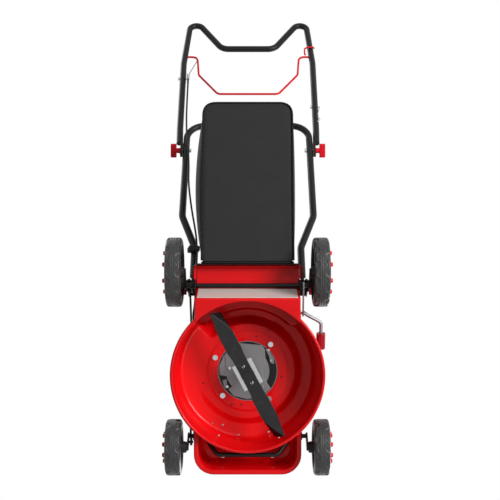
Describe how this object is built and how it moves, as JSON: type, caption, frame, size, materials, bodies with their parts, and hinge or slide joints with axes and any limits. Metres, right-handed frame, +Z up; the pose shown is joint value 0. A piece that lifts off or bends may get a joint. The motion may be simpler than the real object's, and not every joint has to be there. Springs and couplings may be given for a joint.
{
  "type": "push lawn mower",
  "caption": "Petrol rotary push mower with a round pressed steel deck, bar blade, folding tube handle, stop bail, rear grass bag and central cutting-height lever.",
  "frame": {"origin": "on the ground, under the middle of the whole mower's box", "axes": "+Z up, +Y towards the operator (rear), -Y is the driving direction, +X is the operator's left"},
  "size_m": [0.512, 1.4748, 0.9996],
  "materials": {
    "deck_red": "gloss red paint",
    "inner_red": "gloss red paint",
    "deflector": "bright reflective strip",
    "black_steel": "satin black paint",
    "zinc": "zinc plated",
    "cast": "cast aluminium",
    "light_cast": "machined aluminium",
    "engine_black": "matt black plastic",
    "engine_red": "gloss red plastic",
    "muffler_steel": "dull steel",
    "tank": "black moulded tank",
    "blade_steel": "black coated steel",
    "tyre": "dark grey rubber",
    "wheel_plastic": "black plastic",
    "cap_red": "gloss red plastic",
    "knob_red": "gloss red plastic",
    "cable_black": "black sheath",
    "clip_black": "black plastic",
    "bail_red": "red coated wire",
    "bag_fabric": "black woven fabric",
    "lever_steel": "grey steel"
  },
  "bodies": {
    "deck": {"deck_shell": "deck_red", "front_apron": "deck_red", "rear_deflector": "deflector", "handle_brackets": "black_steel", "axle_bushes": "clip_black", "height_sector": "black_steel", "engine_block": "cast", "cylinder_head": "light_cast", "blower_housing": "engine_black", "recoil_cover": "engine_red", "muffler": "muffler_steel", "air_filter_cover": "engine_black", "carburettor": "light_cast", "fuel_tank": "tank", "spark_plug": "cable_black", "engine_bolts": "zinc", "door_hinge_rod": "zinc", "deck_bolts": "zinc", "stop_cable_engine": "cable_black"},
    "crank": {"crankshaft": "zinc", "flywheel": "cast", "blade_holder": "light_cast", "blade": "blade_steel", "blade_bolt": "blade_steel"},
    "rear_axle": {"rear_axle": "black_steel", "height_lever": "lever_steel", "lever_grip": "knob_red"},
    "front_axle": {"front_axle": "black_steel"},
    "link_rod": {"link_rod": "black_steel"},
    "lower_handle": {"lower_handle": "black_steel", "joint_bolts": "zinc", "cable_clip": "clip_black", "stop_cable_lower": "cable_black"},
    "upper_handle": {"upper_handle": "black_steel", "cable_bracket": "black_steel", "rope_guide": "zinc", "stop_cable_upper": "cable_black"},
    "bail": {"bail": "bail_red"},
    "rear_door": {"rear_door": "deck_red"},
    "grass_bag": {"grass_bag": "bag_fabric", "bag_frame": "black_steel"},
    "starter_grip": {"starter_grip": "engine_black"},
    "fuel_cap": {"fuel_cap": "engine_black"},
    "dipstick": {"dipstick": "cap_red"},
    "front_left_wheel": {"tyre_front_left": "tyre", "wheel_disc_front_left": "wheel_plastic", "hub_cap_front_left": "cap_red"},
    "front_right_wheel": {"tyre_front_right": "tyre", "wheel_disc_front_right": "wheel_plastic", "hub_cap_front_right": "cap_red"},
    "rear_left_wheel": {"tyre_rear_left": "tyre", "wheel_disc_rear_left": "wheel_plastic", "hub_cap_rear_left": "cap_red"},
    "rear_right_wheel": {"tyre_rear_right": "tyre", "wheel_disc_rear_right": "wheel_plastic", "hub_cap_rear_right": "cap_red"},
    "upper_knob_left": {"upper_knob_left": "knob_red"},
    "upper_knob_right": {"upper_knob_right": "knob_red"},
    "lower_knob_left": {"lower_knob_left": "knob_red"},
    "lower_knob_right": {"lower_knob_right": "knob_red"}
  },
  "joints": [
    {"name": "blade_spin", "type": "hinge", "parent": "deck", "child": "crank", "pos_m": [0, -0.45788, 0.07], "axis": [0, 0, 1], "continuous": true},
    {"name": "height_adjust", "type": "hinge", "parent": "deck", "child": "rear_axle", "pos_m": [0, -0.21288, 0.1215], "axis": [1, 0, 0], "range_deg": [-6, 18]},
    {"name": "front_axle_turn", "type": "hinge", "parent": "deck", "child": "front_axle", "pos_m": [0, -0.63688, 0.116], "axis": [1, 0, 0], "range_deg": [-29.4, 9.8]},
    {"name": "link_swing", "type": "hinge", "parent": "rear_axle", "child": "link_rod", "pos_m": [0.165, -0.22688, 0.155], "axis": [1, 0, 0], "range_deg": [-20, 6.7]},
    {"name": "rear_left_wheel_spin", "type": "hinge", "parent": "rear_axle", "child": "rear_left_wheel", "pos_m": [0.204, -0.17488, 0.0975], "axis": [1, 0, 0], "continuous": true},
    {"name": "front_left_wheel_spin", "type": "hinge", "parent": "front_axle", "child": "front_left_wheel", "pos_m": [0.204, -0.65988, 0.0775], "axis": [1, 0, 0], "continuous": true},
    {"name": "rear_right_wheel_spin", "type": "hinge", "parent": "rear_axle", "child": "rear_right_wheel", "pos_m": [-0.204, -0.17488, 0.0975], "axis": [1, 0, 0], "continuous": true},
    {"name": "front_right_wheel_spin", "type": "hinge", "parent": "front_axle", "child": "front_right_wheel", "pos_m": [-0.204, -0.65988, 0.0775], "axis": [1, 0, 0], "continuous": true},
    {"name": "lower_handle_fold", "type": "hinge", "parent": "deck", "child": "lower_handle", "pos_m": [0, -0.22188, 0.23], "axis": [1, 0, 0], "range_deg": [0, 25]},
    {"name": "upper_handle_fold", "type": "hinge", "parent": "lower_handle", "child": "upper_handle", "pos_m": [0, 0.21619, 0.58045], "axis": [1, 0, 0], "range_deg": [0, 145]},
    {"name": "bail_pull", "type": "hinge", "parent": "upper_handle", "child": "bail", "pos_m": [0, 0.5871, 0.87718], "axis": [-1, 0, 0], "range_deg": [0, 55], "stiffness_Nm_per_rad": 0.4, "springref_deg": -51.57},
    {"name": "upper_knob_left_turn", "type": "hinge", "parent": "lower_handle", "child": "upper_knob_left", "pos_m": [0.24, 0.21619, 0.58045], "axis": [1, 0, 0], "range_deg": [0, 180]},
    {"name": "lower_knob_left_turn", "type": "hinge", "parent": "deck", "child": "lower_knob_left", "pos_m": [0.186, -0.22188, 0.23], "axis": [1, 0, 0], "range_deg": [0, 180]},
    {"name": "upper_knob_right_turn", "type": "hinge", "parent": "lower_handle", "child": "upper_knob_right", "pos_m": [-0.24, 0.21619, 0.58045], "axis": [1, 0, 0], "range_deg": [0, 180]},
    {"name": "lower_knob_right_turn", "type": "hinge", "parent": "deck", "child": "lower_knob_right", "pos_m": [-0.186, -0.22188, 0.23], "axis": [1, 0, 0], "range_deg": [0, 180]},
    {"name": "rear_door_lift", "type": "hinge", "parent": "deck", "child": "rear_door", "pos_m": [0, -0.20788, 0.243], "axis": [1, 0, 0], "range_deg": [0, 60], "stiffness_Nm_per_rad": 0.4, "springref_deg": -34.38},
    {"name": "bag_slide", "type": "slide", "parent": "deck", "child": "grass_bag", "axis": [0, 1, 0], "range_m": [0, 0.45]},
    {"name": "starter_pull", "type": "slide", "parent": "deck", "child": "starter_grip", "axis": [-0.1802, 0.771, 0.6108], "range_m": [0, 0.18], "stiffness_N_per_m": 40, "springref_m": -0.05},
    {"name": "fuel_cap_turn", "type": "hinge", "parent": "deck", "child": "fuel_cap", "pos_m": [0.132, -0.43788, 0.305], "axis": [0, 0, 1], "range_deg": [0, 90]},
    {"name": "dipstick_turn", "type": "hinge", "parent": "deck", "child": "dipstick", "pos_m": [-0.084, -0.37388, 0.268], "axis": [0, 0, 1], "range_deg": [0, 90]}
  ],
  "couplings": [
    {"joint": "front_axle_turn", "follows": "height_adjust", "ratio": -1.63},
    {"joint": "link_swing", "follows": "height_adjust", "ratio": -1.11}
  ]
}
